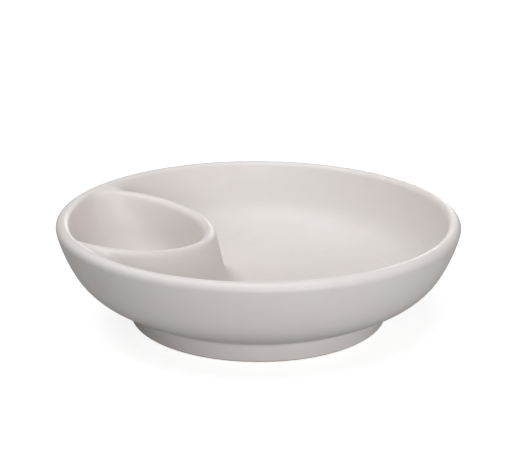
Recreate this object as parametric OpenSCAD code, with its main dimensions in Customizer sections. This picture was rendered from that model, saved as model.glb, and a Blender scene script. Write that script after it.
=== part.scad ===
// Chip and dip server: a round bowl on a foot ring, with a dip well walled off at one side.
// Units are millimetres. Z is up, the origin is the centre of the plane that the foot rests on,
// and the dip well lies towards -X. The members are luted together with slip before firing,
// so they meet face to face and nothing moves.

/* [Bowl] */
// Outside diameter of the bowl over its rim
bowl_d = 305; // [300:1:310]
// Height from the table to the top of the rim
bowl_h = 79.5; // [78:0.5:84]
// Thickness of the wall, of the floor and of the round rim
wall_t = 10; // [9:0.5:10.5]

/* [Outside curve] */
// Lean of the wall from upright just under the rim, in degrees
rim_lean = 13; // [12:0.5:15]
// Outside radius of the upper wall, in section
upper_r = 107; // [104:1:112]
// Lean at which the belly curve starts, in degrees
belly_lean = 29; // [27:0.5:31]
// Outside radius of the belly, in section
belly_r = 52; // [50:1:56]
// Lean at which the lower curve starts, in degrees
lower_lean = 55.5; // [54:0.5:58]
// Outside radius of the lower curve, in section
lower_r = 108; // [104:1:112]

/* [Foot ring] */
// Outside diameter of the foot
foot_d = 197; // [190:1:200]
// Width of the foot's resting face and its rounded edges
foot_w = 10; // [8:0.5:12]
// Radius of the edges that rest on the table
foot_edge_r = 2; // [1:0.5:3]
// Radius of the hollow corner between the foot and the bowl
foot_fillet_r = 4; // [3:0.5:5]

/* [Dip well] */
// Distance from the bowl's axis to the well's axis
cup_offset = 106; // [103:1:108]
// Radius of the well's rim, measured to the middle of the wall
cup_r = 69; // [67:1:71]
// Drop of the well's rim at its innermost point, below the bowl's rim
cup_drop = 14.5; // [11:0.5:16]
// Draft of the wall's outer face, in degrees
outer_draft = 12.5; // [8:0.5:14]
// Draft of the wall's inner face, in degrees
inner_draft = 6; // [3:0.5:9]
// Radius of the clay coil smoothed into the outer corner, out on the bowl's floor
outer_coil_r = 22; // [18:1:24]
// Radius of that coil where the well closes in on the bowl's wall
wedge_coil_r = 8; // [7:1:12]
// Radius of the clay coil smoothed into the inner corner, at the well's innermost point
inner_coil_r = 16; // [12:1:18]
// Radius of that coil where the well's wall runs into the bowl's wall
tip_coil_r = 36; // [28:1:38]
// Angle round the well, from its innermost point, up to which the outer coil is worked in
outer_reach = 108; // [90:1:110]
// Angle up to which the inner coil is worked in; past it the corner is too open to need one
inner_reach = 96; // [80:1:104]

/* [Hidden] */
$fn = 144;
clay = [0.86, 0.84, 0.81];
coil_clay = [0.80, 0.77, 0.73];

// Sampling of the well's faces: degrees between stations, and points along each run of a section
station_step = 6;
face_steps = 12;
arc_steps = 8;
root_steps = 3;
bed_steps = 5;
halvings = 24;

// The section of the bowl is a chain of arcs that share their normals, in [radius, height].
function below(a) = [cos(a), -sin(a)];
function dip_of(v) = atan2(-v.y, v.x);
function unit(v) = v / norm(v);
function mix(a, b, t) = a + (b - a) * t;
rim_r = wall_t / 2;
rim_c = [bowl_d / 2 - rim_r, bowl_h - rim_r];
upper_c = rim_c + (rim_r - upper_r) * below(rim_lean);
belly_c = upper_c + (upper_r - belly_r) * below(belly_lean);
lower_c = belly_c + (belly_r - lower_r) * below(lower_lean);
floor_z = lower_c.y - lower_r + wall_t;
under_z = floor_z - wall_t;
foot_r = foot_d / 2;

// Clearance between a point [radius, height] in the bowl's hollow and the bowl's surface,
// and the direction there that points away from the clay.
function bowl_gap(p) =
    p.x <= lower_c.x ? p.y - floor_z :
    dip_of(p - lower_c) >= lower_lean ? lower_r - wall_t - norm(p - lower_c) :
    dip_of(p - belly_c) >= belly_lean ? belly_r - wall_t - norm(p - belly_c) :
    dip_of(p - upper_c) >= rim_lean ? upper_r - wall_t - norm(p - upper_c) :
    norm(p - rim_c) - rim_r;
function bowl_normal(p) =
    p.x <= lower_c.x ? [0, 1] :
    dip_of(p - lower_c) >= lower_lean ? unit(lower_c - p) :
    dip_of(p - belly_c) >= belly_lean ? unit(belly_c - p) :
    dip_of(p - upper_c) >= rim_lean ? unit(upper_c - p) :
    unit(p - rim_c);

// Height of the bowl's inner surface, or of the top of its rim, at a radius.
function arc_low(c, r, x) = c.y - sqrt(r * r - (x - c.x) * (x - c.x));
function surface_z(x) =
    x <= lower_c.x ? floor_z :
    x <= (lower_c + (lower_r - wall_t) * below(lower_lean)).x ? arc_low(lower_c, lower_r - wall_t, x) :
    x <= (belly_c + (belly_r - wall_t) * below(belly_lean)).x ? arc_low(belly_c, belly_r - wall_t, x) :
    x <= (rim_c - rim_r * below(rim_lean)).x ? arc_low(upper_c, upper_r - wall_t, x) :
    rim_c.y + sqrt(rim_r * rim_r - (x - rim_c.x) * (x - rim_c.x));

// The well's wall, at angle t round the well's axis: its rim is level with the bowl's where the two
// rims cross, and falls in a plane to cup_drop below it at t = 0. A point is [distance, height].
cross_cos = (rim_c.x * rim_c.x - cup_offset * cup_offset - cup_r * cup_r) / (-2 * cup_offset * cup_r);
cross_t = acos(cross_cos);
function crest(t) = [cup_r, rim_c.y - cup_drop * (cos(t) - cross_cos) / (1 - cross_cos)];
function place(t, p) = [p.x * cos(t) - cup_offset, p.x * sin(t), p.y];
function radial(q) = [norm([q.x, q.y]), q.z];

// side is 1 for the wall's outer face and -1 for its inner one, and run is the way along the face
// from the crest: first round the rim and then down the drafted face.
function draft(side) = side > 0 ? outer_draft : inner_draft;
function round_run(side) = rim_r * (90 - draft(side)) * PI / 180;
function face_normal(side, run) =
    let (a = max(draft(side), 90 - run / rim_r * 180 / PI)) [side * cos(a), sin(a)];
function face_point(t, side, run) =
    crest(t) + rim_r * face_normal(side, run)
    + max(0, run - round_run(side)) * [side * sin(draft(side)), -cos(draft(side))];

// Run at which a ball of radius r, rolled down the face, also touches the bowl. With r = 0 it is
// where the face itself meets the bowl.
function ball_centre(t, side, r, run) = place(t, face_point(t, side, run) + r * face_normal(side, run));
function find_run(t, side, r, low, high, n) =
    let (mid = (low + high) / 2)
    n == 0 ? mid :
    bowl_gap(radial(ball_centre(t, side, r, mid))) > r ?
        find_run(t, side, r, mid, high, n - 1) : find_run(t, side, r, low, mid, n - 1);
function rest_run(t, side, r) = find_run(t, side, r, 0, bowl_h, halvings);

// Lines of points that neighbouring solids share.
function coil_r(t, side) =
    let (share = pow((1 + cos(t)) / 2, 2))
    side > 0 ? mix(wedge_coil_r, outer_coil_r, share) : mix(tip_coil_r, inner_coil_r, share);
function face_line(t, side, run) =
    [for (i = [face_steps:-1:0]) place(t, face_point(t, side, run * pow(i / face_steps, 2)))];
function root_line(t, side, from, to) =
    [for (i = [0:root_steps]) place(t, face_point(t, side, mix(from, to, i / root_steps)))];
function bed_line(a, b) =
    [for (i = [0:bed_steps])
        let (q = mix([a.x, a.y], [b.x, b.y], i / bed_steps)) [q.x, q.y, surface_z(norm(q))]];
function inner_part(list) = [for (i = [1:len(list) - 2]) list[i]];
function but_last(list) = [for (i = [0:len(list) - 2]) list[i]];
function middle(list) = [for (k = [0:2]) sum([for (p = list) p[k]]) / len(list)];
function sum(list, n = 0) = n == len(list) ? 0 : list[n] + sum(list, n + 1);
function reversed(list) = [for (i = [len(list) - 1:-1:0]) list[i]];

// One closed section of the wall at station t: up the outer face, over the rim, down the inner face
// and back along the bowl.
function wall_section(t) =
    let (outer_foot = rest_run(t, 1, 0), outer_top = rest_run(t, 1, coil_r(t, 1)))
    let (inner_foot = rest_run(t, -1, 0), inner_top = rest_run(t, -1, coil_r(t, -1)))
    let (outer_root = root_line(t, 1, outer_foot, outer_top))
    let (inner_root = root_line(t, -1, inner_top, inner_foot))
    concat(
        but_last(outer_root),
        but_last(face_line(t, 1, outer_top)),
        but_last(reversed(face_line(t, -1, inner_top))),
        inner_root,
        inner_part(bed_line(inner_root[root_steps], outer_root[0])));

// One closed section of a coil: down the arc of the ball, back along the bowl and up the face.
function coil_section(t, side) =
    let (r = coil_r(t, side), top = rest_run(t, side, r), foot = rest_run(t, side, 0))
    let (centre = ball_centre(t, side, r, top), q = radial(centre))
    let (n = face_normal(side, top), m = bowl_normal(q))
    let (from = [n.x * cos(t), n.x * sin(t), n.y])
    let (to = [m.x * centre.x / q.x, m.x * centre.y / q.x, m.y])
    let (arc = [for (i = [0:arc_steps]) centre - r * unit(mix(from, to, i / arc_steps))])
    let (root = root_line(t, side, foot, top))
    concat(but_last(arc), but_last(bed_line(arc[arc_steps], root[0])), but_last(root));

// Skins a run of closed sections, drawn to a point at both ends. turn flips the faces.
module skin(sections, first, last, turn) {
    m = len(sections[0]);
    n = len(sections);
    flat = [for (s = sections) each s];
    sides = [for (i = [0:n - 2], j = [0:m - 1])
        let (a = i * m + j, b = i * m + (j + 1) % m)
        each [[a, b, b + m], [a, b + m, a + m]]];
    start = [for (j = [0:m - 1]) [n * m, (j + 1) % m, j]];
    end = [for (j = [0:m - 1]) let (k = (n - 1) * m) [n * m + 1, k + j, k + (j + 1) % m]];
    faces = concat(sides, start, end);
    polyhedron(
        points = concat(flat, [first, last]),
        faces = turn ? [for (f = faces) [f[2], f[1], f[0]]] : faces,
        convexity = 10);
}

stations = let (count = 2 * ceil(cross_t / station_step))
    [for (i = [1:count - 1]) cross_t * (2 * i / count - 1)];
tip_low = place(-cross_t, face_point(-cross_t, 1, 0));
tip_high = place(cross_t, face_point(cross_t, 1, 0));

// A sector of a disc, cut between two leans.
module sector(c, r, from, to) {
    intersection() {
        translate(c) circle(r);
        polygon([c, c + 2 * r * below(from), c + 2 * r * below(to)]);
    }
}

// Everything inside the bowl's outside curve, drawn inset deep within it. The sectors run past
// their ends, so that they overlap under the belly's disc and under the floor's block.
module inside_curve(inset) {
    sector(upper_c, upper_r - inset, -rim_lean, belly_lean);
    translate(belly_c) circle(belly_r - inset);
    sector(lower_c, lower_r - inset, lower_lean, 180 - lower_lean);
    translate([0, under_z + inset]) square([lower_c.x, bowl_d]);
}

module bowl_section() {
    top = rim_c - rim_c.x / cos(rim_lean) * below(rim_lean);
    edge = rim_c + 2 * wall_t * below(rim_lean);
    intersection() {
        difference() {
            inside_curve(0);
            inside_curve(wall_t);
        }
        polygon([[0, 0], [edge.x, 0], edge, top]);
    }
    translate(rim_c) circle(rim_r);
}

module bowl_shell() {
    color(clay) rotate_extrude() bowl_section();
}

module dip_cup_wall() {
    color(clay) skin([for (t = stations) wall_section(t)], tip_low, tip_high, false);
}

module coil(side) {
    reach = side > 0 ? outer_reach : inner_reach;
    sections = [for (t = stations) if (abs(t) < reach) coil_section(t, side)];
    color(coil_clay) skin(sections, middle(sections[0]), middle(sections[len(sections) - 1]), side > 0);
}

module cup_outer_coil() {
    coil(1);
}

module cup_inner_coil() {
    coil(-1);
}

// Centre of the round hollow between the foot's face at radius x and the bowl's underside.
// side is 1 for the face that looks outwards.
function hollow_c(x, side) =
    let (cx = x + side * foot_fillet_r) [cx, arc_low(lower_c, lower_r + foot_fillet_r, cx)];
function hollow_end(c) = lower_c + lower_r * unit(c - lower_c);

// What is cut away beside the foot's face at radius x: the hollow, and all that is below it.
module beside_foot(x, side) {
    c = hollow_c(x, side);
    low = -foot_fillet_r;
    translate(c) circle(foot_fillet_r);
    polygon([[x, low], [x, c.y], [x + 2 * side * foot_fillet_r, c.y], [x + 2 * side * foot_fillet_r, low]]);
}

// What is cut away to round the foot's edge at radius x.
module beside_edge(x, side) {
    difference() {
        translate([x - side * foot_edge_r / 2, foot_edge_r / 2]) square(foot_edge_r, center = true);
        translate([x - side * foot_edge_r, foot_edge_r]) circle(foot_edge_r);
    }
}

module foot_section() {
    inner_r = foot_r - foot_w;
    outer_c = hollow_c(foot_r, 1);
    inner_c = hollow_c(inner_r, -1);
    difference() {
        polygon([
            [inner_c.x, 0], inner_c, hollow_end(inner_c), [inner_r, bowl_h / 2],
            [foot_r, bowl_h / 2], hollow_end(outer_c), outer_c, [outer_c.x, 0]]);
        translate(lower_c) circle(lower_r);
        beside_foot(foot_r, 1);
        beside_foot(inner_r, -1);
        beside_edge(foot_r, 1);
        beside_edge(inner_r, -1);
    }
}

module foot_ring() {
    color(clay) rotate_extrude() foot_section();
}

bowl_shell();
dip_cup_wall();
cup_outer_coil();
cup_inner_coil();
foot_ring();
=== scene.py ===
import bpy
from math import acos, atan2, cos, degrees, hypot, pi, radians, sin, sqrt
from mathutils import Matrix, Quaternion, Vector


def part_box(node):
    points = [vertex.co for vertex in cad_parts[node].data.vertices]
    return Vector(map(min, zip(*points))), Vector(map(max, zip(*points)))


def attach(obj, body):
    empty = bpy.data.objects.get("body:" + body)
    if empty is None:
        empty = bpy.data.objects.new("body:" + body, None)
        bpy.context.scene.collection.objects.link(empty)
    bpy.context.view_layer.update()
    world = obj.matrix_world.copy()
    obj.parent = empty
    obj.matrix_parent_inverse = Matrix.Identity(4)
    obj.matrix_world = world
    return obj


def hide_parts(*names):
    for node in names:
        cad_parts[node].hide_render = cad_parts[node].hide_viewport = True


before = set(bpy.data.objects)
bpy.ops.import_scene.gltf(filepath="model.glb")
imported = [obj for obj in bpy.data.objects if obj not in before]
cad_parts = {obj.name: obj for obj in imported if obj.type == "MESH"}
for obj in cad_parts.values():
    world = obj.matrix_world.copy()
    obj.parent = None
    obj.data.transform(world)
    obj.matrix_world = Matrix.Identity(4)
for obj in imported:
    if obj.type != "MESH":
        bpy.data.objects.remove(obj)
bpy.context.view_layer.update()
mm = 0.001

# Small helpers

def deselectAll():
    if bpy.context.object and bpy.context.object.mode != "OBJECT":
        bpy.ops.object.mode_set(mode="OBJECT")
    bpy.ops.object.select_all(action="DESELECT")

def isInsideOut(mesh):
    # the signed volume of a closed mesh is negative when its faces point inwards
    mesh.calc_loop_triangles()
    volume = 0
    for triangle in mesh.loop_triangles:
        a, b, c = (mesh.vertices[i].co for i in triangle.vertices)
        volume += a.dot(b.cross(c))
    return volume < 0

def finishMesh(piece, name, weld=0.01 * mm, smoothAngle=35):
    # welds what meets, turns every face outwards and shades the piece smooth
    bpy.ops.object.mode_set(mode="EDIT")
    bpy.ops.mesh.select_all(action="SELECT")
    bpy.ops.mesh.remove_doubles(threshold=weld)
    bpy.ops.mesh.normals_make_consistent(inside=False)
    bpy.ops.object.mode_set(mode="OBJECT")
    if isInsideOut(piece.data):  # a thin curved blend can come out this way
        bpy.ops.object.mode_set(mode="EDIT")
        bpy.ops.mesh.flip_normals()
        bpy.ops.object.mode_set(mode="OBJECT")
    bpy.ops.object.shade_smooth_by_angle(angle=radians(smoothAngle))
    bpy.ops.object.transform_apply(location=True, rotation=True, scale=True)
    piece.name = name
    piece.data.name = name

def place(piece, node):
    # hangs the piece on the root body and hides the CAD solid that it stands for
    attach(piece, "root")
    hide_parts(node)

def below(lean):
    # unit vector at a lean from level, downwards, as (radius, height)
    return Vector((cos(radians(lean)), -sin(radians(lean))))

def dipOf(v):
    # how far a (radius, height) vector leans below level
    return degrees(atan2(-v.y, v.x))

def arcPoints(middle, radius, fromLean, toLean, step):
    # points on an arc, from one lean to the other, both ends included
    count = max(2, round(abs(toLean - fromLean) * pi / 180 * abs(radius) / step))
    leans = [fromLean + (toLean - fromLean) * i / count for i in range(count + 1)]
    return [middle + radius * below(a) for a in leans]

def spinOutline(name, points, steps):
    # draws an outline point by point in the XZ plane and spins it round the Z axis
    deselectAll()
    bpy.ops.mesh.primitive_plane_add(size=1 * mm, location=(points[0].x, 0, points[0].y))
    piece = bpy.context.object
    bpy.ops.object.transform_apply(location=True, rotation=True, scale=True)
    bpy.ops.object.mode_set(mode="EDIT")
    bpy.ops.mesh.select_all(action="SELECT")
    bpy.ops.mesh.merge(type="CENTER")
    for here, there in zip(points, points[1:]):
        move = there - here
        bpy.ops.mesh.extrude_region_move(TRANSFORM_OT_translate={"value": (move.x, 0, move.y)})
    bpy.ops.mesh.select_all(action="SELECT")
    bpy.ops.mesh.spin(steps=steps, angle=2 * pi, center=(0, 0, 0), axis=(0, 0, 1))
    finishMesh(piece, name)
    return piece

# Bowl: a wall of even thickness that follows three arcs, under a full round rim

bowl = {
    "wall": 10 * mm,
    "rimLean": 13, "upperRadius": 107 * mm,
    "bellyLean": 29, "bellyRadius": 52 * mm,
    "lowerLean": 55.5, "lowerRadius": 108 * mm,
    "step": 2.4 * mm, "rimStep": 0.8 * mm, "steps": 288,
}
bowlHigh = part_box("bowl_shell")[1]
wall = bowl["wall"]
rimRadius = wall / 2
rimMiddle = Vector((bowlHigh.x - rimRadius, bowlHigh.z - rimRadius))
upperMiddle = rimMiddle + (rimRadius - bowl["upperRadius"]) * below(bowl["rimLean"])
bellyMiddle = upperMiddle + (bowl["upperRadius"] - bowl["bellyRadius"]) * below(bowl["bellyLean"])
lowerMiddle = bellyMiddle + (bowl["bellyRadius"] - bowl["lowerRadius"]) * below(bowl["lowerLean"])
floorZ = lowerMiddle.y - bowl["lowerRadius"] + wall

def bowlFace(inset):
    # one face of the bowl, from the rim down to the middle of the floor
    b = bowl
    step = b["step"]
    upper = arcPoints(upperMiddle, b["upperRadius"] - inset, b["rimLean"], b["bellyLean"], step)
    belly = arcPoints(bellyMiddle, b["bellyRadius"] - inset, b["bellyLean"], b["lowerLean"], step)
    lower = arcPoints(lowerMiddle, b["lowerRadius"] - inset, b["lowerLean"], 90, step)
    points = upper + belly[1:] + lower[1:]
    flat = points[-1]
    count = round(flat.x / step)
    return points + [Vector((flat.x * (1 - i / count), flat.y)) for i in range(1, count + 1)]

def makeBowl():
    outer = bowlFace(0)
    inner = bowlFace(wall)
    lean = bowl["rimLean"]
    rim = arcPoints(rimMiddle, rimRadius, lean - 180, lean, bowl["rimStep"])
    return spinOutline("bowlShell", inner[::-1] + rim[1:-1] + outer, bowl["steps"])

bowlShell = makeBowl()
place(bowlShell, "bowl_shell")
print("bowl made")

# Foot: an upright ring with eased edges and a small hollow where it meets the bowl

foot = {
    "diameter": 197 * mm, "width": 10 * mm, "edge": 2 * mm, "hollow": 4 * mm,
    "sink": 1 * mm, "edgeSteps": 6, "hollowSteps": 8, "steps": 288,
}

def footFace(x, side):
    # one face of the foot, from its resting plane up to the end of its hollow
    edge = foot["edge"]
    hollow = foot["hollow"]
    points = []
    for i in range(foot["edgeSteps"] + 1):
        a = pi / 2 * i / foot["edgeSteps"]
        points.append(Vector((x - side * edge * (1 - sin(a)), edge * (1 - cos(a)))))
    hollowX = x + side * hollow
    reach = bowl["lowerRadius"] + hollow
    middle = Vector((hollowX, lowerMiddle.y - sqrt(reach ** 2 - (hollowX - lowerMiddle.x) ** 2)))
    away = (lowerMiddle - middle).normalized()
    endTurn = atan2(away.y, -side * away.x)
    for i in range(foot["hollowSteps"] + 1):
        a = endTurn * i / foot["hollowSteps"]
        points.append(middle + hollow * Vector((-side * cos(a), sin(a))))
    return points + [points[-1] + foot["sink"] * away]

def makeFoot():
    outerX = foot["diameter"] / 2
    outer = footFace(outerX, 1)
    inner = footFace(outerX - foot["width"], -1)
    return spinOutline("footRing", inner[::-1] + outer + [inner[-1]], foot["steps"])

footRing = makeFoot()
place(footRing, "foot_ring")
print("foot made")

# Dip well: a drafted wall whose round rim falls away from the bowl's rim, blended in on both sides.
# Turns run round the well's own axis, from the point nearest the bowl's middle. Side is 1 for the
# outer face of the well's wall and -1 for the inner one.

well = {
    "offset": 106 * mm, "radius": 69 * mm, "drop": 14.5 * mm,
    "outerDraft": 12.5, "innerDraft": 6,
    "outerBlend": 22 * mm, "wedgeBlend": 8 * mm, "innerBlend": 16 * mm, "tipBlend": 36 * mm,
    "sink": 1.5 * mm, "wallEndGap": 0.2, "blendEndGap": 0.6,
    "stations": 200, "arcSteps": 20, "faceSteps": 24, "faceCrowding": 1.5, "bedSteps": 8,
}

def crossingCos():
    # cosine of the turn at which the well's rim crosses the bowl's
    offset = well["offset"]
    radius = well["radius"]
    return (rimMiddle.x ** 2 - offset ** 2 - radius ** 2) / (-2 * offset * radius)

crossCos = crossingCos()
crossTurn = degrees(acos(crossCos))

def bowlGap(p):
    # clearance between a point in the bowl's hollow and its surface
    if p.x <= lowerMiddle.x:
        return p.y - floorZ
    if dipOf(p - lowerMiddle) >= bowl["lowerLean"]:
        return bowl["lowerRadius"] - wall - (p - lowerMiddle).length
    if dipOf(p - bellyMiddle) >= bowl["bellyLean"]:
        return bowl["bellyRadius"] - wall - (p - bellyMiddle).length
    if dipOf(p - upperMiddle) >= bowl["rimLean"]:
        return bowl["upperRadius"] - wall - (p - upperMiddle).length
    return (p - rimMiddle).length - rimRadius

def bowlNormal(p):
    # direction from the nearest point of the bowl's surface to a point in its hollow
    if p.x <= lowerMiddle.x:
        return Vector((0, 1))
    if dipOf(p - lowerMiddle) >= bowl["lowerLean"]:
        return (lowerMiddle - p).normalized()
    if dipOf(p - bellyMiddle) >= bowl["bellyLean"]:
        return (bellyMiddle - p).normalized()
    if dipOf(p - upperMiddle) >= bowl["rimLean"]:
        return (upperMiddle - p).normalized()
    return (p - rimMiddle).normalized()

def surfaceZ(x):
    # height of the bowl's inner surface, or of the top of its rim, at a radius
    if x <= lowerMiddle.x:
        return floorZ
    stretches = ((lowerMiddle, bowl["lowerRadius"], bowl["lowerLean"]),
                 (bellyMiddle, bowl["bellyRadius"], bowl["bellyLean"]),
                 (upperMiddle, bowl["upperRadius"], bowl["rimLean"]))
    for middle, radius, lean in stretches:
        r = radius - wall
        if x <= middle.x + r * cos(radians(lean)):
            return middle.y - sqrt(r * r - (x - middle.x) ** 2)
    return rimMiddle.y + sqrt(max(0, rimRadius ** 2 - (x - rimMiddle.x) ** 2))

def crest(t):
    # centre of the well's round rim, as high as the bowl's where the two cross
    fall = (cos(radians(t)) - crossCos) / (1 - crossCos)
    return Vector((well["radius"], rimMiddle.y - well["drop"] * fall))

def inSpace(t, p):
    # from (distance to the well's axis, height) to a point in the room
    return Vector((p.x * cos(radians(t)) - well["offset"], p.x * sin(radians(t)), p.y))

def radial(q):
    # from a point in the room to (distance to the bowl's axis, height)
    return Vector((hypot(q.x, q.y), q.z))

def draft(side):
    return well["outerDraft"] if side > 0 else well["innerDraft"]

def faceNormal(side, run):
    a = radians(max(draft(side), 90 - degrees(run / rimRadius)))
    return Vector((side * cos(a), sin(a)))

def facePoint(t, side, run):
    # a point on the well's wall, run being the way along it from the top of its rim
    roundRun = rimRadius * radians(90 - draft(side))
    slope = Vector((side * sin(radians(draft(side))), -cos(radians(draft(side)))))
    return crest(t) + rimRadius * faceNormal(side, run) + max(0, run - roundRun) * slope

def ballMiddle(t, side, r, run):
    return inSpace(t, facePoint(t, side, run) + r * faceNormal(side, run))

def restRun(t, side, r):
    # the run at which a ball of radius r, rolled down the wall, also touches the bowl
    low, high = 0, bowlHigh.z
    for _ in range(32):  # each pass halves what is left
        mid = (low + high) / 2
        if bowlGap(radial(ballMiddle(t, side, r, mid))) > r:
            low = mid
        else:
            high = mid
    return low

def stationTurns(reach):
    # stations round the well, closer together towards its two ends
    count = well["stations"]
    return [reach * sin(pi / 2 * (2 * i / count - 1)) for i in range(count + 1)]

def skinSections(name, sections):
    # lays a grid over the sections, closes it round them and caps its two ends
    rows = len(sections)
    points = len(sections[0])
    deselectAll()
    bpy.ops.mesh.primitive_grid_add(x_subdivisions=points, y_subdivisions=rows - 1, size=1)
    piece = bpy.context.object
    for i, section in enumerate(sections):
        for j, p in enumerate(section + section[:1]):
            piece.data.vertices[i * (points + 1) + j].co = p
    bpy.ops.object.mode_set(mode="EDIT")
    bpy.ops.mesh.select_all(action="SELECT")
    bpy.ops.mesh.remove_doubles(threshold=0.001 * mm)
    bpy.ops.mesh.select_all(action="DESELECT")
    bpy.ops.mesh.select_non_manifold()
    bpy.ops.mesh.fill_holes(sides=0)
    bpy.ops.object.mode_set(mode="OBJECT")
    finishMesh(piece, name, weld=0.001 * mm)
    return piece

def blendRadius(t, side):
    # towards the well's two ends the outer blend tightens and the inner one opens out
    share = ((1 + cos(radians(t))) / 2) ** 2
    end, middle = ("wedgeBlend", "outerBlend") if side > 0 else ("tipBlend", "innerBlend")
    return well[end] + (well[middle] - well[end]) * share

def wellSection(t):
    # up the outer face, over the rim, down the inner face; both feet are sunk into the bowl
    def face(side):
        end = restRun(t, side, 0) + well["sink"]
        n = well["faceSteps"]
        crowding = well["faceCrowding"]  # closer together round the rim
        runs = [end * (i / n) ** crowding for i in range(n, -1, -1)]
        return [inSpace(t, facePoint(t, side, run)) for run in runs]
    return face(1) + face(-1)[::-1][1:]

def blendSection(t, side):
    # the arc of the ball between the wall and the bowl, closed behind them
    r = blendRadius(t, side)
    run = restRun(t, side, r)
    middle = ballMiddle(t, side, r, run)
    q = radial(middle)
    n = faceNormal(side, run)
    m = bowlNormal(q)
    start = Vector((n.x * cos(radians(t)), n.x * sin(radians(t)), n.y))
    end = Vector((m.x * middle.x / q.x, m.x * middle.y / q.x, m.y))
    steps = well["arcSteps"]
    arc = [middle - r * start.slerp(end, i / steps) for i in range(steps + 1)]
    sink = well["sink"]
    footRun = restRun(t, side, 0)
    corner = inSpace(t, facePoint(t, side, footRun + sink) - sink * faceNormal(side, footRun))
    bed = []
    for i in range(well["bedSteps"]):
        p = arc[-1].lerp(corner, i / well["bedSteps"])
        bed.append(Vector((p.x, p.y, surfaceZ(hypot(p.x, p.y)) - sink)))
    return arc + bed + [corner, arc[0] - sink * start]

def makeWell():
    turns = stationTurns(crossTurn - well["wallEndGap"])
    return skinSections("dipCupWall", [wellSection(t) for t in turns])

def makeBlend(name, side):
    turns = stationTurns(crossTurn - well["blendEndGap"])
    return skinSections(name, [blendSection(t, side) for t in turns])

dipCupWall = makeWell()
place(dipCupWall, "dip_cup_wall")
outerBlend = makeBlend("outerBlend", 1)
place(outerBlend, "cup_outer_coil")
innerBlend = makeBlend("innerBlend", -1)
place(innerBlend, "cup_inner_coil")
print("dip well made")

# Glaze, and a painted shade band along the foot's resting edge

glaze = {
    "color": (0.80, 0.757, 0.733, 1),
    "thinColor": (0.73, 0.675, 0.635, 1),
    "poolColor": (0.815, 0.785, 0.77, 1),
    "cloudScale": 9, "cloudEdges": (0.45, 0.7), "cloudShare": 0.5,
    "driftScale": 38.7, "driftEdges": (0.52, 0.78), "driftShare": 0.25, "driftHeight": 0.35,
    "speckScale": 260, "speckEdges": (0.056, 0.035), "speckShare": 0.3,
    "patchScale": 55, "patchEdges": (0.56, 0.62),  # where there are specks at all
    "ringSpacing": 7 * mm, "ringWander": 3.5 * mm, "ringHeight": 0.035,
    "peelScale": 330, "peelHeight": 0.1, "relief": 0.25 * mm,
    "roughEdges": (0.35, 0.65), "roughLow": 0.4, "roughHigh": 0.54,
    "coat": 0.16, "coatRoughness": 0.3, "specular": 0.38,
}
# painted shade along the foot's resting edge: its colours, grain and roughness
paintedFootShade = {
    "color": (0.60, 0.515, 0.43, 1), "darkColor": (0.47, 0.385, 0.31, 1),
    "lineHeight": 1.3 * mm, "lineSoftness": 0.3 * mm, "lineWander": 0.5 * mm, "wanderScale": 70,
    "grainScale": 900, "grainEdges": (0.4, 0.65), "roughness": 0.86,
}

def addNode(tree, kind, **values):
    node = tree.nodes.new(kind)
    for name, value in values.items():
        node.inputs[name].default_value = value
    return node

def addMath(tree, operation, first, second):
    # first and second are sockets or plain numbers
    node = tree.nodes.new("ShaderNodeMath")
    node.operation = operation
    for i, value in enumerate((first, second)):
        if isinstance(value, (int, float)):
            node.inputs[i].default_value = value
        else:
            tree.links.new(value, node.inputs[i])
    return node.outputs[0]

def addRange(tree, value, edges, low=0, high=1):
    # eases from low to high as the value goes from the first edge to the second
    node = tree.nodes.new("ShaderNodeMapRange")
    node.interpolation_type = "SMOOTHSTEP"
    limits = {"From Min": edges[0], "From Max": edges[1], "To Min": low, "To Max": high}
    for name, number in limits.items():
        node.inputs[name].default_value = number
    tree.links.new(value, node.inputs["Value"])
    return node.outputs["Result"]

def addMix(tree, share, first, second):
    # first and second are sockets or plain colours; inputs 6 and 7 and output 2 carry colour
    node = tree.nodes.new("ShaderNodeMix")
    node.data_type = "RGBA"
    tree.links.new(share, node.inputs["Factor"])
    for socket, value in ((node.inputs[6], first), (node.inputs[7], second)):
        if isinstance(value, tuple):
            socket.default_value = value
        else:
            tree.links.new(value, socket)
    return node.outputs[2]

def newGroup(name, ins, outs):
    group = bpy.data.node_groups.new(name, "ShaderNodeTree")
    for socketName, kind in ins:
        group.interface.new_socket(name=socketName, in_out="INPUT", socket_type=kind)
    for socketName, kind in outs:
        group.interface.new_socket(name=socketName, in_out="OUTPUT", socket_type=kind)
    return group, group.nodes.new("NodeGroupInput"), group.nodes.new("NodeGroupOutput")

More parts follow.
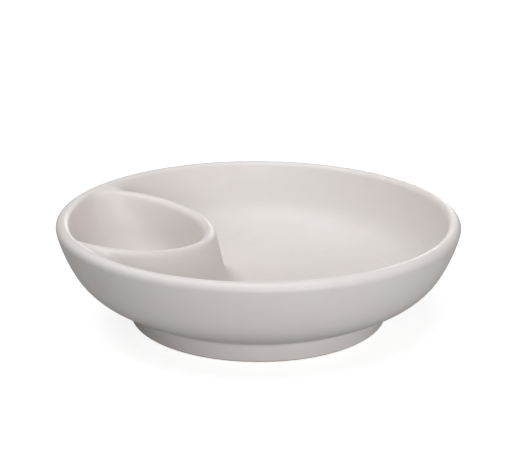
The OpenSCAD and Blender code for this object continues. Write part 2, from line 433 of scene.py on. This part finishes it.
def makeGlazeGroup():
    # clouds of thicker and thinner glaze, fine orange peel, faint specks and throwing rings
    g = glaze
    tree, given, out = newGroup(
        "glazeSurface",
        (("Place", "NodeSocketVector"), ("Color", "NodeSocketColor"),
         ("Thin Color", "NodeSocketColor"), ("Pool Color", "NodeSocketColor"),
         ("Rings", "NodeSocketFloat")),
        (("Color", "NodeSocketColor"), ("Roughness", "NodeSocketFloat"),
         ("Height", "NodeSocketFloat")))
    where = given.outputs["Place"]
    thinColor = given.outputs["Thin Color"]

    def noise(scale, detail, roughness=0.5):
        node = addNode(tree, "ShaderNodeTexNoise", Scale=scale, Detail=detail, Roughness=roughness)
        tree.links.new(where, node.inputs["Vector"])
        return node.outputs["Fac"]

    def add(first, second):
        return addMath(tree, "ADD", first, second)

    def times(first, second):
        return addMath(tree, "MULTIPLY", first, second)

    # pooled and thin patches
    cloud = noise(g["cloudScale"], 3)
    drift = noise(g["driftScale"], 2)
    pooled = times(addRange(tree, cloud, g["cloudEdges"]), g["cloudShare"])
    thin = times(addRange(tree, drift, g["driftEdges"]), g["driftShare"])
    color = addMix(tree, pooled, given.outputs["Color"], given.outputs["Pool Color"])
    color = addMix(tree, thin, color, thinColor)

    # specks, in some places only
    specks = addNode(tree, "ShaderNodeTexVoronoi", Scale=g["speckScale"], Randomness=1)
    tree.links.new(where, specks.inputs["Vector"])
    speck = addRange(tree, specks.outputs["Distance"], g["speckEdges"])
    patch = addRange(tree, noise(g["patchScale"], 1), g["patchEdges"], 0, g["speckShare"])
    color = addMix(tree, times(speck, patch), color, thinColor)
    tree.links.new(color, out.inputs["Color"])

    rough = addRange(tree, drift, g["roughEdges"], g["roughLow"], g["roughHigh"])
    tree.links.new(rough, out.inputs["Roughness"])

    # rings round the bowl's axis that climb its wall, and the peel
    apart = tree.nodes.new("ShaderNodeSeparateXYZ")
    tree.links.new(where, apart.inputs[0])
    squares = [addMath(tree, "POWER", apart.outputs[axis], 2) for axis in ("X", "Y")]
    climb = add(addMath(tree, "SQRT", add(*squares), 0), times(drift, g["ringWander"]))
    climb = add(climb, apart.outputs["Z"])
    ring = addMath(tree, "SINE", times(climb, 2 * pi / g["ringSpacing"]), 0)
    ring = times(times(ring, g["ringHeight"]), given.outputs["Rings"])
    peel = times(noise(g["peelScale"], 2, 0.4), g["peelHeight"])
    height = add(add(ring, peel), times(drift, g["driftHeight"]))
    tree.links.new(height, out.inputs["Height"])
    return tree

def makePaintedFootShadeGroup():
    # painted shade: a darker, warmer band along the foot's resting edge, with its own colour and
    # grain
    c = paintedFootShade
    tree, given, out = newGroup(
        "paintedFootShade",
        (("Place", "NodeSocketVector"),),
        (("Share", "NodeSocketFloat"), ("Color", "NodeSocketColor"), ("Height", "NodeSocketFloat")))
    where = given.outputs["Place"]
    grain = addNode(tree, "ShaderNodeTexNoise", Scale=c["grainScale"], Detail=3, Roughness=0.6)
    wander = addNode(tree, "ShaderNodeTexNoise", Scale=c["wanderScale"], Detail=2)
    for node in (grain, wander):
        tree.links.new(where, node.inputs["Vector"])
    apart = tree.nodes.new("ShaderNodeSeparateXYZ")
    tree.links.new(where, apart.inputs[0])
    drift = addMath(tree, "MULTIPLY", wander.outputs["Fac"], c["lineWander"])
    line = addMath(tree, "ADD", apart.outputs["Z"], drift)
    share = addRange(tree, line, (c["lineHeight"] + c["lineSoftness"], c["lineHeight"]))
    tree.links.new(share, out.inputs["Share"])
    dark = addRange(tree, grain.outputs["Fac"], c["grainEdges"])
    tree.links.new(addMix(tree, dark, c["color"], c["darkColor"]), out.inputs["Color"])
    tree.links.new(grain.outputs["Fac"], out.inputs["Height"])
    return tree

glazeGroup = makeGlazeGroup()
paintedFootShadeGroup = makePaintedFootShadeGroup()

def makeGlaze(name, rings, paintedShade):
    # rings is how much the throwing rings show; paintedShade adds painted shade, a darker and
    # warmer band, at the resting face
    g = glaze
    material = bpy.data.materials.new(name)
    material.use_nodes = True
    tree = material.node_tree
    shader = tree.nodes["Principled BSDF"]
    shader.inputs["Specular IOR Level"].default_value = g["specular"]
    shader.inputs["Coat Roughness"].default_value = g["coatRoughness"]
    shader.inputs["Coat Weight"].default_value = g["coat"]
    coords = tree.nodes.new("ShaderNodeTexCoord").outputs["Object"]
    surface = tree.nodes.new("ShaderNodeGroup")
    surface.node_tree = glazeGroup
    tree.links.new(coords, surface.inputs["Place"])
    colors = {"Color": "color", "Thin Color": "thinColor", "Pool Color": "poolColor"}
    for socket, key in colors.items():
        surface.inputs[socket].default_value = g[key]
    surface.inputs["Rings"].default_value = rings
    color, rough, height = (surface.outputs[n] for n in ("Color", "Roughness", "Height"))
    # painted shade: a darker, warmer band along the foot's resting edge
    if paintedShade:
        shadeBand = tree.nodes.new("ShaderNodeGroup")
        shadeBand.node_tree = paintedFootShadeGroup
        tree.links.new(coords, shadeBand.inputs["Place"])
        share = shadeBand.outputs["Share"]
        glazed = addMath(tree, "SUBTRACT", 1, share)
        color = addMix(tree, share, color, shadeBand.outputs["Color"])
        glazeRough = addMath(tree, "MULTIPLY", rough, glazed)
        shadeBandRough = addMath(tree, "MULTIPLY", share, paintedFootShade["roughness"])
        rough = addMath(tree, "ADD", glazeRough, shadeBandRough)
        grain = addMath(tree, "MULTIPLY", shadeBand.outputs["Height"], share)
        height = addMath(tree, "ADD", height, grain)
        coat = addMath(tree, "MULTIPLY", glazed, g["coat"])
        tree.links.new(coat, shader.inputs["Coat Weight"])
    bump = addNode(tree, "ShaderNodeBump", Strength=1, Distance=g["relief"])
    tree.links.new(height, bump.inputs["Height"])
    tree.links.new(bump.outputs["Normal"], shader.inputs["Normal"])
    tree.links.new(color, shader.inputs["Base Color"])
    tree.links.new(rough, shader.inputs["Roughness"])
    return material

def dress(piece, material):
    # gives the piece one finish all over
    piece.data.materials.clear()
    piece.data.materials.append(material)

thrownGlaze = makeGlaze("thrownGlaze", 1, False)
handGlaze = makeGlaze("handBuiltGlaze", 0, False)
# the foot's glaze carries a painted shade band along its resting edge
footGlaze = makeGlaze("footGlazeWithPaintedShade", 1, True)
dress(bowlShell, thrownGlaze)
dress(footRing, footGlaze)
for piece in (dipCupWall, outerBlend, innerBlend):
    dress(piece, handGlaze)
print("glaze made")

# Table, light and camera

studio = {
    "floorSize": 40, "floorGap": 0.05 * mm,
    "floorBounce": 0.42, "floorGlow": 0.8, "floorDiffuse": 0.5,
    "skyGlow": 0.115, "skyWhite": 1.05,
}
# turn from the front and rise above the table in degrees, away and size in metres, power in watts
lamps = {
    "topLamp": {"turn": 0, "rise": 80, "away": 2, "size": 1.4, "power": 16.8},
    "leftLamp": {"turn": -90, "rise": 65, "away": 2, "size": 1.4, "power": 4.7},
    "backLamp": {"turn": -135, "rise": 55, "away": 2, "size": 1.4, "power": 8.7},
    "frontLamp": {"turn": 0, "rise": 12, "away": 2, "size": 1, "power": 9.2},
    "rightLamp": {"turn": 32, "rise": 12, "away": 2, "size": 1, "power": 10.9},
    "rearLamp": {"turn": 170, "rise": 10, "away": 2, "size": 1, "power": 8},
}

def makeTable():
    # pale to the eye, with a faint contact shadow, and a quiet bounce on the bowl
    s = studio
    deselectAll()
    bpy.ops.mesh.primitive_plane_add(size=s["floorSize"], location=(0, 0, -s["floorGap"]))
    table = bpy.context.object
    table.name = "tableTop"
    material = bpy.data.materials.new("tableWhite")
    material.use_nodes = True
    tree = material.node_tree
    tree.nodes.remove(tree.nodes["Principled BSDF"])
    bounce = addNode(tree, "ShaderNodeBsdfDiffuse", Color=(s["floorBounce"],) * 3 + (1,))
    pale = addNode(tree, "ShaderNodeBsdfDiffuse", Color=(s["floorDiffuse"],) * 3 + (1,))
    glow = addNode(tree, "ShaderNodeEmission", Strength=s["floorGlow"])
    seen = tree.nodes.new("ShaderNodeAddShader")
    pick = tree.nodes.new("ShaderNodeMixShader")
    path = tree.nodes.new("ShaderNodeLightPath")
    tree.links.new(pale.outputs[0], seen.inputs[0])
    tree.links.new(glow.outputs[0], seen.inputs[1])
    tree.links.new(path.outputs["Is Camera Ray"], pick.inputs[0])
    tree.links.new(bounce.outputs[0], pick.inputs[1])
    tree.links.new(seen.outputs[0], pick.inputs[2])
    tree.links.new(pick.outputs[0], tree.nodes["Material Output"].inputs["Surface"])
    table.data.materials.append(material)

def makeSky():
    # white to the eye, and a dim even glow on the bowl
    world = bpy.data.worlds.new("studio")
    bpy.context.scene.world = world
    world.use_nodes = True
    tree = world.node_tree
    glow = tree.nodes["Background"]
    glow.inputs["Color"].default_value = (1, 1, 1, 1)
    glow.inputs["Strength"].default_value = studio["skyGlow"]
    white = addNode(tree, "ShaderNodeBackground", Color=(1, 1, 1, 1), Strength=studio["skyWhite"])
    pick = tree.nodes.new("ShaderNodeMixShader")
    path = tree.nodes.new("ShaderNodeLightPath")
    tree.links.new(path.outputs["Is Camera Ray"], pick.inputs[0])
    tree.links.new(glow.outputs[0], pick.inputs[1])
    tree.links.new(white.outputs[0], pick.inputs[2])
    tree.links.new(pick.outputs[0], tree.nodes["World Output"].inputs["Surface"])

def makeLamp(name, lamp):
    # a round soft lamp that faces the middle of the table
    turn = radians(lamp["turn"])
    rise = radians(lamp["rise"])
    out = Vector((sin(turn) * cos(rise), -cos(turn) * cos(rise), sin(rise)))
    bpy.ops.object.light_add(type="AREA", location=out * lamp["away"])
    light = bpy.context.object
    light.name = name
    light.data.shape = "DISK"
    light.data.size = lamp["size"]
    light.data.energy = lamp["power"]
    light.rotation_mode = "QUATERNION"
    light.rotation_quaternion = out.to_track_quat("Z", "Y")

view = {
    "distance": 1.0, "elevation": 20, "lens": 90.07, "sensor": 36,
    "aimUp": 1.162, "aimRight": 0.07, "roll": 0.22,
}

def makeCamera():
    # looks at the middle of the bowl, then is turned a little up, right and round
    v = view
    e = radians(v["elevation"])
    target = Vector((0, 0, bowlHigh.z / 2))
    back = Vector((0, -cos(e), sin(e)))
    deselectAll()
    bpy.ops.object.camera_add(location=target + back * v["distance"])
    camera = bpy.context.object
    camera.name = "viewCamera"
    camera.data.lens = v["lens"]
    camera.data.sensor_width = v["sensor"]
    camera.rotation_mode = "QUATERNION"
    up = Quaternion((1, 0, 0), radians(v["aimUp"]))
    right = Quaternion((0, 1, 0), -radians(v["aimRight"]))
    roll = Quaternion((0, 0, 1), radians(v["roll"]))
    camera.rotation_quaternion = back.to_track_quat("Z", "Y") @ up @ right @ roll
    bpy.context.scene.camera = camera

makeTable()
makeSky()
for lampName, lamp in lamps.items():
    makeLamp(lampName, lamp)
makeCamera()
bpy.context.scene.view_settings.view_transform = "Standard"
print("studio made")
